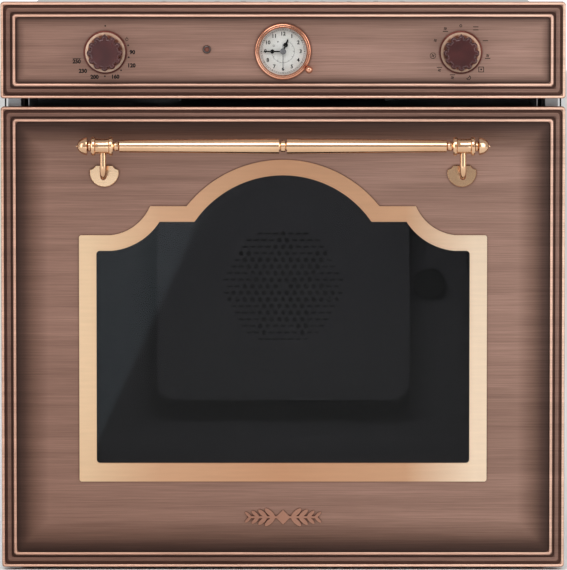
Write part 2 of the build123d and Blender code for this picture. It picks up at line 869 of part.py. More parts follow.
def door_panel():
    panel = pressed_front(door_lift, door_height, y_cab - door_rear_gap)
    opening = window_outline(trim_band, trim_band_side, trim_band_bottom, window_corner)
    panel -= slab(opening, y_field - 1, y_field + sheet)
    for side in (-1, 1):
        panel -= arm_slot(side, y_field + 2 * sheet, y_cab, door_lift + wall + 1)
    return panel


def trim_layer(inset, y0, y1):
    outside = window_outline(inset, inset, inset, trim_corner)
    inside = window_outline(trim_band - inset, trim_band_side - inset, trim_band_bottom - inset, window_corner)
    return slab(outside - inside, y0, y1)


def window_trim():
    # a flat band whose front edges are stepped back
    step = 0.5
    return trim_layer(0, y_field - trim_thick + step, y_field) + trim_layer(step, y_field - trim_thick, y_field)


def outer_glass():
    half = window_half + 20
    crown = crown_centre + crown_radius
    low = window_bottom - 14
    front = y_field + sheet + 0.2
    return block(-half, half, front, front + glass_thick, low, crown + 6)


def middle_glass():
    half = window_half + 20
    front = y_field + 10
    return block(-half, half, front, front + middle_glass_thick, window_bottom - 14, crown_centre + crown_radius + 6)


opening_half = cavity_half - 3
opening_low = cavity_floor - 16
opening_high = cavity_top + 7


def door_inner_frame():
    rear = y_cab - door_rear_gap - 0.6
    inside = front_width / 2 - wall - 0.3
    low = door_lift + wall + 0.3
    high = door_top - wall - 0.3
    reach = y_cab + inner_frame_reach
    backing = RectangleRounded(2 * inside, high - low, outer_corner)
    frame = slab(Pos(0, (low + high) / 2) * backing, rear - sheet, rear)
    frame += block(-inner_frame_half, inner_frame_half, rear - sheet, reach, inner_frame_bottom, inner_frame_top)
    frame -= block(-inner_frame_half + 2, inner_frame_half - 2, rear - sheet, reach - 6,
                   inner_frame_bottom + 2, inner_frame_top - 2)
    rebate = 6.0
    frame -= block(-opening_half - rebate, opening_half + rebate, reach - glass_thick, reach,
                   opening_low - rebate, opening_high + rebate)
    frame -= block(-opening_half, opening_half, rear - sheet, reach, opening_low, opening_high)
    for side in (-1, 1):
        frame -= arm_slot(side, rear - sheet, rear, arm_top + 4)
    return frame


def inner_glass():
    reach = y_cab + inner_frame_reach
    edge = 5.8
    return block(-opening_half - edge, opening_half + edge, reach - glass_thick, reach,
                 opening_low - edge, opening_high + edge)


def handle_bar():
    # a bar swelling to the middle, with a turned collar between its two halves
    half = bar_half
    collar = [(-4.3, 0), (-4.3, 5.2), (-2.6, 4.4), (-1.9, 6.3), (1.9, 6.3), (2.6, 4.4), (4.3, 5.2), (4.3, 0)]
    bar = turned(collar, 0, y_bar, bar_height)
    for side in (-1, 1):
        outline = [(0, 0), (0, bar_end_radius), (half - 4.2, bar_mid_radius), (half - 4.2, 0)]
        long_half = turned(outline, -half, y_bar, bar_height)
        bar += long_half if side < 0 else long_half.mirror(Plane.YZ)
    return bar


def handle_end():
    # neck ball, waisted ferrule, small neck and acorn tip, from the bar outwards
    ferrule_start = 7.0
    ferrule_end = 29.8
    tip_start = 33.6
    tip = 45.7
    outline = [(0, 0), (0, 3.6), (1.4, 4.7), (3.4, 5.1), (5.4, 4.7), (ferrule_start, 3.8),
               (ferrule_start, ferrule_radius - 0.8), (ferrule_start + 1.2, ferrule_radius),
               (ferrule_start + 3.4, ferrule_radius), (ferrule_start + 4.6, waist_radius + 0.4),
               (ferrule_start + 7.5, waist_radius), (ferrule_end - 7.5, waist_radius),
               (ferrule_end - 4.6, waist_radius + 0.4), (ferrule_end - 3.4, ferrule_radius),
               (ferrule_end - 1.2, ferrule_radius), (ferrule_end, ferrule_radius - 0.8),
               (ferrule_end, 4.6), (ferrule_end + 1.2, 5.6), (ferrule_end + 2.6, 5.6), (tip_start, 4.6),
               (tip_start, finial_radius - 1.4)]
    dome = tip - tip_start - 1.2
    for step in range(1, 12):
        turn = math.radians(7.5 * step)
        outline.append((tip_start + dome * math.sin(turn) ** 1.4, finial_radius * math.cos(turn) ** 0.8))
    outline += [(tip - 1.2, 1.1), (tip, 0.7), (tip, 0)]
    return turned(outline, bar_half, y_bar, bar_height)


def handle_ends():
    right = handle_end()
    return group([right, right.mirror(Plane.YZ)])


def handle_stem(x):
    top = bar_height - waist_radius + 0.6
    run = [(x, y_bar, top), (x, y_bar, stem_root_height), (x, y_field - rosette_thick, stem_root_height)]
    return tube_along(run, stem_radius, stem_bend)


def rosette(x):
    outline = Circle(rosette_radius)
    outline -= Pos(0, rosette_flat + 20) * Rectangle(60, 40)
    for side in (-1, 1):
        outline -= Pos(side * 15.5, 10) * Circle(7)
    plate = slab(Pos(x, rosette_height) * outline, y_field - rosette_thick, y_field)
    return chamfer(plate.edges().group_by(Axis.Y)[0], 0.6)


def door_ornament():
    # a low leaf spray: a centre diamond with leaves that shrink outwards
    outline = Rectangle(74, 2.2)
    outline += Rot(0, 0, 45) * Rectangle(11, 11)
    for side in (-1, 1):
        for leaf in range(4):
            size = 1 - 0.13 * leaf
            place = Pos(side * (9 + 8.4 * leaf), 0)
            for turn in (-1, 1):
                blade = Pos(side * 5 * size, 4.6 * turn * size) * Rot(0, 0, side * turn * 42) * Ellipse(
                    6.8 * size, 2.5 * size)
                outline += place * blade
    return slab(Pos(0, ornament_height) * outline, y_field - ornament_rise, y_field)


parts = {
    "base_pan": base_pan(),
    "left_side_panel": side_panel(-1),
    "right_side_panel": side_panel(1),
    "top_panel": top_panel(),
    "rear_cover": rear_cover(),
    "case_screws": case_screws(),
    "front_frame": front_frame(),
    "terminal_box": terminal_box(),
    "cable_gland": cable_gland(),
    "cavity_liner": cavity_liner(),
    "insulation": insulation(),
    "door_gasket": door_gasket(),
    "fan_cover": fan_cover(),
    "hot_air_fan": hot_air_fan(),
    "fan_motor": fan_motor(),
    "ring_element": ring_element(),
    "grill_element": grill_element(),
    "bottom_element": bottom_element(),
    "left_side_rack": side_rack(-1),
    "right_side_rack": side_rack(1),
    "lamp_holder": lamp_holder(),
    "lamp_lens": lamp_lens(),
    "temperature_probe": temperature_probe(),
    "air_duct": air_duct(),
    "blower_housing": blower_housing(),
    "blower_rotor": blower_rotor(),
    "blower_motor": blower_motor(),
    "fascia_panel": fascia_panel(),
    "control_bracket": control_bracket(),
    "thermostat_body": switch_body(-knob_x),
    "selector_body": switch_body(knob_x),
    "clock_movement": clock_movement(),
    "knob_escutcheons": knob_escutcheons(),
    "thermostat_knob": lobed_knob(-knob_x),
    "thermostat_disc": knob_disc(-knob_x),
    "thermostat_shaft": knob_shaft(-knob_x),
    "selector_knob": lobed_knob(knob_x),
    "selector_disc": knob_disc(knob_x),
    "selector_shaft": knob_shaft(knob_x),
    "clock_bezel": clock_bezel(),
    "clock_dial": clock_dial(),
    "clock_glass": clock_glass(),
    "hour_hand": hour_hand(),
    "minute_hand": minute_hand(),
    "timer_hand": timer_hand(),
    "setting_pin": setting_pin(),
    "pilot_lamp": pilot_lamp(),
    "hinge_arms": hinge_arms(),
    "hinge_channels": hinge_channels(),
    "door_panel": door_panel(),
    "window_trim": window_trim(),
    "outer_glass": outer_glass(),
    "middle_glass": middle_glass(),
    "door_inner_frame": door_inner_frame(),
    "inner_glass": inner_glass(),
    "handle_bar": handle_bar(),
    "handle_ends": handle_ends(),
    "handle_stems": group([handle_stem(-stem_x), handle_stem(stem_x)]),
    "handle_rosettes": group([rosette(-stem_x), rosette(stem_x)]),
    "door_ornament": door_ornament(),
}

os.makedirs("parts", exist_ok=True)
for name, shape in parts.items():
    export_step(shape, f"parts/{name}.step")
    print(name)
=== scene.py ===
import math

import bmesh
import bpy
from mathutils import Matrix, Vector


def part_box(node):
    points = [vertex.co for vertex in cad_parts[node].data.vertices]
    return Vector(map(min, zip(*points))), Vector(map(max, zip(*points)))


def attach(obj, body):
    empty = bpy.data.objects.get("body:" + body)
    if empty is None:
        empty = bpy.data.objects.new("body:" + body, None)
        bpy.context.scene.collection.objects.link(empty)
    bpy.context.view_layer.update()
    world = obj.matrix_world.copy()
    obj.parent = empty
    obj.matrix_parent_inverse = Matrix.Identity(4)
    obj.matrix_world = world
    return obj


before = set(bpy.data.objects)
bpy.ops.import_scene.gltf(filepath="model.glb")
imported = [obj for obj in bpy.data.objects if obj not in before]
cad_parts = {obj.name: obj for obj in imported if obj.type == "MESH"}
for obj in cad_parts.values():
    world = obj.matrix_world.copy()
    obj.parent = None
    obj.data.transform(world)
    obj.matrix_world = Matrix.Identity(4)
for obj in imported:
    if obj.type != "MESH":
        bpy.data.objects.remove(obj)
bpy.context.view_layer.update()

scene = bpy.context.scene
scene.view_settings.view_transform = "Standard"
mm = 0.001

panelLow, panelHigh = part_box("fascia_panel")
doorLow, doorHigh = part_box("door_panel")
trimLow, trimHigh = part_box("window_trim")
fieldY = trimHigh.y                     # the flat field of both panels
print("frame loaded")


# ---- camera, lights and stage

cameraSet = {"distance": 6.5, "pitch": 4.5, "spanHeight": 0.604, "sideways": 0.0005, "lift": 0.0004}


def makeCamera():
    data = bpy.data.cameras.new("camera")
    camera = bpy.data.objects.new("camera", data)
    scene.collection.objects.link(camera)
    data.sensor_width = 36.0
    data.lens = 36.0 * cameraSet["distance"] / cameraSet["spanHeight"]
    data.clip_end = 100.0
    pitch = math.radians(cameraSet["pitch"])
    back = Vector((0, -math.cos(pitch), math.sin(pitch)))
    middle = (doorLow.z + panelHigh.z) / 2
    target = Vector((cameraSet["sideways"], fieldY, middle + cameraSet["lift"]))
    camera.location = target + back * cameraSet["distance"]
    camera.rotation_mode = "QUATERNION"
    camera.rotation_quaternion = (-back).to_track_quat("-Z", "Y")
    scene.camera = camera


def areaLight(name, place, aim, width, height, power, colour=(1, 1, 1)):
    data = bpy.data.lights.new(name, "AREA")
    data.shape = "RECTANGLE"
    data.size, data.size_y = width, height
    data.energy = power
    data.color = colour
    light = bpy.data.objects.new(name, data)
    scene.collection.objects.link(light)
    light.location = place
    light.rotation_mode = "QUATERNION"
    light.rotation_quaternion = (Vector(aim) - Vector(place)).to_track_quat("-Z", "Y")
    light.visible_camera = False
    return light


# ---- node helpers

def toLinear(red, green, blue):
    parts = []
    for value in (red, green, blue):
        part = value / 255
        parts.append(part / 12.92 if part <= 0.04045 else ((part + 0.055) / 1.055) ** 2.4)
    return (*parts, 1.0)


def joinInput(tree, socket, value):
    if isinstance(value, bpy.types.NodeSocket):
        tree.links.new(value, socket)
    else:
        socket.default_value = value


def mathStep(tree, operation, first, second=0.0, clamp=False):
    node = tree.nodes.new("ShaderNodeMath")
    node.operation = operation
    node.use_clamp = clamp
    joinInput(tree, node.inputs[0], first)
    joinInput(tree, node.inputs[1], second)
    return node.outputs[0]


def objectPoint(tree):
    return tree.nodes.new("ShaderNodeTexCoord").outputs["Object"]


def splitPoint(tree):
    node = tree.nodes.new("ShaderNodeSeparateXYZ")
    tree.links.new(objectPoint(tree), node.inputs[0])
    return node.outputs


def noise(tree, scale, stretch=(1, 1, 1), detail=3.0, roughness=0.5):
    mapping = tree.nodes.new("ShaderNodeMapping")
    mapping.inputs["Scale"].default_value = stretch
    tree.links.new(objectPoint(tree), mapping.inputs["Vector"])
    node = tree.nodes.new("ShaderNodeTexNoise")
    node.inputs["Scale"].default_value = scale
    node.inputs["Detail"].default_value = detail
    node.inputs["Roughness"].default_value = roughness
    tree.links.new(mapping.outputs[0], node.inputs["Vector"])
    return node.outputs["Fac"]


def ramp(tree, factor, stops):
    node = tree.nodes.new("ShaderNodeValToRGB")
    band = node.color_ramp
    while len(band.elements) < len(stops):
        band.elements.new(0.5)
    for element, (place, colour) in zip(band.elements, stops):
        element.position = place
        element.color = colour
    joinInput(tree, node.inputs[0], factor)
    return node.outputs[0]


def between(tree, factor, low, high):
    node = tree.nodes.new("ShaderNodeMapRange")
    joinInput(tree, node.inputs["Value"], factor)
    node.inputs["To Min"].default_value = low
    node.inputs["To Max"].default_value = high
    return node.outputs["Result"]


def mixColour(tree, factor, first, second, blend="MIX"):
    node = tree.nodes.new("ShaderNodeMix")
    node.data_type = "RGBA"
    node.blend_type = blend
    joinInput(tree, node.inputs["Factor"], factor)
    joinInput(tree, node.inputs[6], first)
    joinInput(tree, node.inputs[7], second)
    return node.outputs[2]


def bumpFrom(tree, height, strength, distance):
    node = tree.nodes.new("ShaderNodeBump")
    node.inputs["Strength"].default_value = strength
    node.inputs["Distance"].default_value = distance
    tree.links.new(height, node.inputs["Height"])
    return node.outputs["Normal"]


def startMaterial(name, **values):
    material = bpy.data.materials.new(name)
    material.use_nodes = True
    shader = material.node_tree.nodes["Principled BSDF"]
    for key, value in values.items():
        shader.inputs[key.replace("_", " ")].default_value = value
    return material, material.node_tree, shader


def colourVary(tree, shader, first, second, scale, stretch=(1, 1, 1)):
    # two close tones over a noise
    spread = noise(tree, scale, stretch)
    joinInput(tree, shader.inputs["Base Color"], ramp(tree, spread, [(0.3, first), (0.7, second)]))
    return spread


def simpleFinish(name, first, second, scale, roughLow, roughHigh, bump=0.0, bumpSize=0.0001,
                 stretch=(1, 1, 1), **values):
    material, tree, shader = startMaterial(name, **values)
    spread = colourVary(tree, shader, first, second, scale, stretch)
    tree.links.new(between(tree, spread, roughLow, roughHigh), shader.inputs["Roughness"])
    if bump:
        tree.links.new(bumpFrom(tree, spread, bump, bumpSize), shader.inputs["Normal"])
    return material


# ---- finishes

copperSet = {
    "reach": 50.0,           # mm from the outer edge over which the patina, the burnish and the beads' painted highlight run
    "cornerRound": 6.0,
    "contact": 3.5,          # mm of painted contact shade round a piece that stands on the plate, and in the grooves
    # millimetres from the outer edge, and the tone there: patina in the grooves, and bright beads of
    # burnished copper with a painted highlight
    "edge": [(0.0, (150, 108, 90)), (0.8, (222, 184, 164)), (2.7, (226, 190, 170)), (3.3, (66, 42, 36)),
             (5.6, (84, 60, 52)), (6.3, (132, 103, 92)), (9.9, (122, 95, 85)), (10.5, (64, 44, 38)),
             (12.3, (64, 44, 38)), (12.9, (220, 182, 164)), (15.4, (214, 176, 157)), (15.9, (62, 45, 40))],
}


def contactShade(tree, tone, reach):
    # painted shade from ambient occlusion: darker where another piece stands on the plate and in the
    # grooves
    node = tree.nodes.new("ShaderNodeAmbientOcclusion")
    node.samples = 8
    node.inputs["Distance"].default_value = reach
    shade = ramp(tree, node.outputs["AO"], [(0.35, (0.22, 0.13, 0.11, 1)), (0.85, (1, 1, 1, 1))])
    return mixColour(tree, 1.0, tone, shade, "MULTIPLY")


def antiqueCopper(name, low, high, fade):
    # brushed copper, burnished dark round the beaded edge; the beads are painted bright, burnished copper
    # with a painted highlight
    material, tree, shader = startMaterial(name, Metallic=0.9, Anisotropic=0.5)
    x, y, z = splitPoint(tree)[:3]
    middle = (high.z + low.z) / 2
    rounding = copperSet["cornerRound"] * mm
    # the distance is rounded at the corners, as the moulding is
    acrossGap = mathStep(tree, "SUBTRACT", (high.x - low.x) / 2, mathStep(tree, "ABSOLUTE", x))
    rise = mathStep(tree, "ABSOLUTE", mathStep(tree, "SUBTRACT", z, middle))
    upGap = mathStep(tree, "SUBTRACT", (high.z - low.z) / 2, rise)
    gap = mathStep(tree, "SMOOTH_MIN", acrossGap, upGap)
    gap.node.inputs[2].default_value = rounding
    part = mathStep(tree, "DIVIDE", gap, copperSet["reach"] * mm, clamp=True)
    # the bright bead stops are partly a painted highlight
    stops = [(place / copperSet["reach"], toLinear(*tone)) for place, tone in copperSet["edge"]]
    stops += [(place / copperSet["reach"], toLinear(*tone)) for place, tone in fade]
    edgeTone = ramp(tree, part, stops)
    streaks = noise(tree, 1.0, (3, 3, 60), 3.0, 0.5)
    lines = noise(tree, 1.0, (14, 14, 1500), 3.0, 0.7)
    lift = ramp(tree, streaks, [(0.3, (0.84, 0.81, 0.79, 1)), (0.7, (1.12, 1.10, 1.09, 1))])
    fine = ramp(tree, lines, [(0.25, (0.72, 0.69, 0.67, 1)), (0.75, (1.24, 1.22, 1.21, 1))])
    # painted light: the copper is darker to the left and paler to the right, as if lit from the right
    sideways = mathStep(tree, "ADD", mathStep(tree, "DIVIDE", x, high.x - low.x), 0.5)
    pale = ramp(tree, sideways, [(0.0, (0.91, 0.86, 0.84, 1)), (1.0, (1.14, 1.18, 1.20, 1))])
    tone = mixColour(tree, 1.0, edgeTone, lift, "MULTIPLY")
    tone = mixColour(tree, 1.0, tone, fine, "MULTIPLY")
    tone = mixColour(tree, 1.0, tone, pale, "MULTIPLY")
    # painted shade round raised pieces and in the grooves
    tone = contactShade(tree, tone, copperSet["contact"] * mm)
    tree.links.new(tone, shader.inputs["Base Color"])
    tree.links.new(between(tree, lines, 0.36, 0.52), shader.inputs["Roughness"])
    tree.links.new(bumpFrom(tree, lines, 0.25, 0.00012), shader.inputs["Normal"])
    return material


def frameFinish(name, plate):
    # galvanised in one upright strip on each side, and dark elsewhere
    material, tree, shader = startMaterial(name, Metallic=0.7)
    x = splitPoint(tree)[0]
    across = mathStep(tree, "SUBTRACT", mathStep(tree, "ABSOLUTE", x), plate["middle"])
    off = mathStep(tree, "ABSOLUTE", across)
    inside = mathStep(tree, "LESS_THAN", off, plate["half"])
    spread = noise(tree, 38.0)
    light = ramp(tree, spread, [(0.3, plate["light"]), (0.7, plate["lighter"])])
    dark = ramp(tree, spread, [(0.3, plate["dark"]), (0.7, plate["darker"])])
    joinInput(tree, shader.inputs["Base Color"], mixColour(tree, inside, dark, light))
    tree.links.new(between(tree, spread, 0.4, 0.55), shader.inputs["Roughness"])
    return material


def polishedCopper(name, tone, deep, roughLow, roughHigh):
    material, tree, shader = startMaterial(name, Metallic=1.0)
    cloud = noise(tree, 9.0, (1, 1, 1), 2.0)
    grain = noise(tree, 1.0, (30, 30, 900), 2.0)
    joinInput(tree, shader.inputs["Base Color"], ramp(tree, cloud, [(0.3, deep), (0.7, tone)]))
    tree.links.new(between(tree, grain, roughLow, roughHigh), shader.inputs["Roughness"])
    tree.links.new(bumpFrom(tree, grain, 0.04, 0.0001), shader.inputs["Normal"])
    return material


def trimFinish(name, low, high):
    # smooth gilt copper with a painted reflection: pale sides, deeper crown and foot, palest on the right
    material, tree, shader = startMaterial(name, Metallic=0.9)
    x = splitPoint(tree)[0]
    sideways = mathStep(tree, "DIVIDE", mathStep(tree, "SUBTRACT", x, low.x), high.x - low.x, clamp=True)
    deep, mid, pale, palest = [toLinear(*tone) for tone in
                               ((196, 146, 112), (204, 158, 124), (220, 184, 148), (244, 218, 190))]
    # painted reflection: the tone runs across the trim, palest on the right
    tone = ramp(tree, sideways, [(0.02, pale), (0.2, mid), (0.5, deep), (0.8, mid), (0.97, palest)])
    grain = noise(tree, 1.0, (20, 20, 300), 2.0)
    fine = ramp(tree, grain, [(0.3, (0.97, 0.97, 0.97, 1)), (0.7, (1.03, 1.03, 1.03, 1))])
    tree.links.new(mixColour(tree, 1.0, tone, fine, "MULTIPLY"), shader.inputs["Base Color"])
    tree.links.new(between(tree, grain, 0.26, 0.34), shader.inputs["Roughness"])
    return material


def roundFinish(name, centre, reach, stops, turn=0.0, **values):
    # tones by the distance from an axis along Y; "turn" paints light and shade: darker to the lower left,
    # lit to the upper right
    material, tree, shader = startMaterial(name, **values)
    x, y, z = splitPoint(tree)[:3]
    offX = mathStep(tree, "SUBTRACT", mathStep(tree, "ABSOLUTE", x), centre[0])
    offZ = mathStep(tree, "SUBTRACT", z, centre[1])
    squareX = mathStep(tree, "MULTIPLY", offX, offX)
    squareZ = mathStep(tree, "MULTIPLY", offZ, offZ)
    radius = mathStep(tree, "SQRT", mathStep(tree, "ADD", squareX, squareZ))
    part = mathStep(tree, "DIVIDE", radius, reach * mm, clamp=True)
    tone = ramp(tree, part, [(place / reach, toLinear(*colour)) for place, colour in stops])
    # painted light and shade leaning to the upper right
    if turn:
        lean = mathStep(tree, "DIVIDE", mathStep(tree, "ADD", mathStep(tree, "MULTIPLY", offX, 0.5), offZ),
                        reach * mm)
        light = ramp(tree, mathStep(tree, "ADD", mathStep(tree, "MULTIPLY", lean, 0.5), 0.5),
                     [(0.25, (1 - turn, 1 - turn, 1 - turn, 1)), (0.85, (1, 1, 1, 1))])
        tone = mixColour(tree, 1.0, tone, light, "MULTIPLY")
    spread = noise(tree, 300.0)
    fine = ramp(tree, spread, [(0.3, (0.95, 0.95, 0.95, 1)), (0.7, (1.05, 1.05, 1.05, 1))])
    tree.links.new(mixColour(tree, 1.0, tone, fine, "MULTIPLY"), shader.inputs["Base Color"])
    tree.links.new(between(tree, spread, 0.16, 0.26), shader.inputs["Roughness"])
    return material


def paint(material, *names):
    for name in names:
        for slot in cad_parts[name].material_slots:
            slot.material = material


def glassFinish(name, tone, alpha, refraction, roughness):
    material, tree, shader = startMaterial(name, Metallic=0.0, Alpha=alpha, IOR=refraction)
    haze = noise(tree, 14.0)
    lighter = (*[part * 1.3 for part in tone[:3]], 1)
    joinInput(tree, shader.inputs["Base Color"], ramp(tree, haze, [(0.2, tone), (0.8, lighter)]))
    tree.links.new(between(tree, haze, roughness, roughness * 1.6), shader.inputs["Roughness"])
    return material


# millimetres from the outer edge, and the tone of the field there
fasciaFade = [(17.5, (84, 64, 57)), (20.0, (120, 94, 84)), (26.0, (148, 118, 106)), (50.0, (160, 128, 116))]
doorFade = [(18.0, (66, 50, 45)), (24.0, (82, 62, 55)), (34.0, (116, 90, 79)), (50.0, (146, 116, 104))]
frameTones = {"middle": 0.2848, "half": 0.0067,
              "light": toLinear(158, 162, 164), "lighter": toLinear(190, 194, 196),
              "dark": toLinear(16, 16, 17), "darker": toLinear(24, 24, 25)}
# millimetres from the middle, and the tone there
ringTones = [(0.0, (120, 70, 56)), (18.0, (150, 92, 72)), (19.0, (236, 190, 162)), (20.8, (240, 200, 172)),
             (21.3, (96, 40, 32)), (22.8, (110, 48, 38))]
lampTones = [(0.0, (112, 62, 44)), (2.2, (84, 40, 28)), (3.0, (34, 18, 14)), (4.3, (58, 36, 30))]
lampLow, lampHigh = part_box("pilot_lamp")
discLow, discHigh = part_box("thermostat_disc")
dialLow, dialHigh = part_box("clock_dial")
knobX = -(discLow.x + discHigh.x) / 2
knobZ = (discLow.z + discHigh.z) / 2
clockZ = (dialLow.z + dialHigh.z) / 2


def makeFinishes():
    made = {
        "panelCopper": antiqueCopper("panelCopper", panelLow, panelHigh, fasciaFade),
        "doorCopper": antiqueCopper("doorCopper", doorLow, doorHigh, doorFade),
        "trimGold": trimFinish("trimGold", trimLow, trimHigh),
        "escutcheonRing": roundFinish("escutcheonRing", (knobX, knobZ),
                                      ringTones[-1][0], ringTones, 0.45, Metallic=0.6),
        "handleGold": polishedCopper("handleGold", toLinear(226, 188, 152), toLinear(208, 164, 128),
                                     0.1, 0.18),
        "ornamentCopper": polishedCopper("ornamentCopper", toLinear(178, 132, 112),
                                         toLinear(160, 116, 98), 0.3, 0.4),
        "roseGold": polishedCopper("roseGold", toLinear(226, 168, 140), toLinear(200, 140, 114),
                                   0.1, 0.2),
        "frameDark": frameFinish("frameDark", frameTones),
        "knobRed": simpleFinish("knobRed", toLinear(58, 20, 20), toLinear(76, 28, 26), 60, 0.16, 0.26,
                                0.1, 0.0002, Metallic=0.25, Coat_Weight=0.6, Coat_Roughness=0.12),
        "discWhite": simpleFinish("discWhite", toLinear(196, 201, 205), toLinear(206, 211, 214),
                                  90, 0.25, 0.35),
        "dialWhite": simpleFinish("dialWhite", toLinear(230, 230, 224), toLinear(240, 240, 236),
                                  120, 0.4, 0.5),
        "inkBlack": simpleFinish("inkBlack", toLinear(8, 7, 7), toLinear(16, 14, 13), 300, 0.6, 0.75,
                                 Specular_IOR_Level=0.15),
        "inkGrey": simpleFinish("inkGrey", toLinear(110, 110, 112), toLinear(135, 135, 138),
                                300, 0.3, 0.45),
        "amber": roundFinish("amber", (-(lampLow.x + lampHigh.x) / 2, (lampLow.z + lampHigh.z) / 2),
                             lampTones[-1][0], lampTones, Coat_Weight=0.5),
        "galvanised": simpleFinish("galvanised", toLinear(150, 155, 158), toLinear(186, 190, 192),
                                   38, 0.32, 0.5,
                                   0.1, 0.0002, Metallic=0.85),
        "enamel": simpleFinish("enamel", toLinear(26, 26, 28), toLinear(36, 36, 38), 160, 0.16, 0.3,
                               0.15, 0.0002, Coat_Weight=0.4),
        "innerBlack": simpleFinish("innerBlack", toLinear(24, 24, 25), toLinear(34, 34, 35),
                                   120, 0.4, 0.5),
        "wool": simpleFinish("wool", toLinear(190, 176, 130), toLinear(222, 210, 168), 220, 0.9, 1.0,
                             0.8, 0.004),
        "seal": simpleFinish("seal", toLinear(34, 34, 34), toLinear(58, 58, 58),
                             900, 0.8, 0.95, 0.6, 0.0006),
        "heater": simpleFinish("heater", toLinear(64, 56, 52), toLinear(92, 82, 76), 90, 0.4, 0.55,
                               Metallic=0.7),
        "wire": simpleFinish("wire", toLinear(190, 190, 192), toLinear(214, 214, 216), 200, 0.12, 0.2,
                             Metallic=1.0),
        "motorSteel": simpleFinish("motorSteel", toLinear(120, 122, 124), toLinear(150, 152, 154),
                                   60, 0.35, 0.5,
                                   Metallic=0.9),
        "fanSteel": simpleFinish("fanSteel", toLinear(168, 170, 172), toLinear(190, 192, 194),
                                 40, 0.28, 0.4,
                                 Metallic=0.95),
        "switchPlastic": simpleFinish("switchPlastic", toLinear(36, 36, 38), toLinear(48, 48, 50),
                                      260, 0.5, 0.65,
                                      0.2, 0.0001),
        "ceramicHolder": simpleFinish("ceramicHolder", toLinear(214, 206, 190),
                                      toLinear(232, 226, 212), 120,
                                      0.6, 0.75),
        "glandNylon": simpleFinish("glandNylon", toLinear(20, 20, 21), toLinear(30, 30, 31),
                                   200, 0.45, 0.6),
        "shaftSteel": simpleFinish("shaftSteel", toLinear(150, 150, 150), toLinear(176, 176, 176),
                                   300, 0.2, 0.32,
                                   Metallic=1.0),
        "windowGlass": glassFinish("windowGlass", toLinear(6, 6, 7), 0.55, 1.26, 0.02),
        "clearGlass": glassFinish("clearGlass", toLinear(30, 32, 32), 0.12, 1.3, 0.02),
    }
    paint(made["panelCopper"], "fascia_panel")
    paint(made["doorCopper"], "door_panel")
    paint(made["ornamentCopper"], "door_ornament")
    paint(made["trimGold"], "window_trim")
    paint(made["handleGold"], "handle_bar", "handle_ends", "handle_stems", "handle_rosettes")
    paint(made["escutcheonRing"], "knob_escutcheons")
    paint(made["roseGold"], "clock_bezel", "setting_pin")
    paint(made["frameDark"], "front_frame")
    paint(made["knobRed"], "thermostat_knob", "selector_knob")
    paint(made["discWhite"], "thermostat_disc", "selector_disc")
    paint(made["dialWhite"], "clock_dial")
    paint(made["inkBlack"], "hour_hand", "minute_hand")
    paint(made["inkGrey"], "timer_hand")
    paint(made["amber"], "pilot_lamp")
    paint(made["galvanised"], "base_pan", "left_side_panel", "right_side_panel", "top_panel", "rear_cover",
          "air_duct", "control_bracket", "hinge_arms", "hinge_channels", "blower_housing")
    paint(made["enamel"], "cavity_liner", "fan_cover")
    paint(made["innerBlack"], "door_inner_frame")
    paint(made["wool"], "insulation")
    paint(made["seal"], "door_gasket")
    paint(made["heater"], "ring_element", "grill_element", "bottom_element")
    paint(made["wire"], "left_side_rack", "right_side_rack", "temperature_probe")
    paint(made["motorSteel"], "fan_motor", "blower_motor")
    paint(made["fanSteel"], "hot_air_fan", "blower_rotor")
    paint(made["switchPlastic"], "thermostat_body", "selector_body", "clock_movement", "terminal_box")
    paint(made["ceramicHolder"], "lamp_holder")
    paint(made["glandNylon"], "cable_gland")
    paint(made["shaftSteel"], "thermostat_shaft", "selector_shaft", "case_screws")
    paint(made["windowGlass"], "outer_glass")
    paint(made["clearGlass"], "clock_glass", "lamp_lens", "middle_glass", "inner_glass")
    return made


# ---- printed marks

inkThick = 0.06 * mm


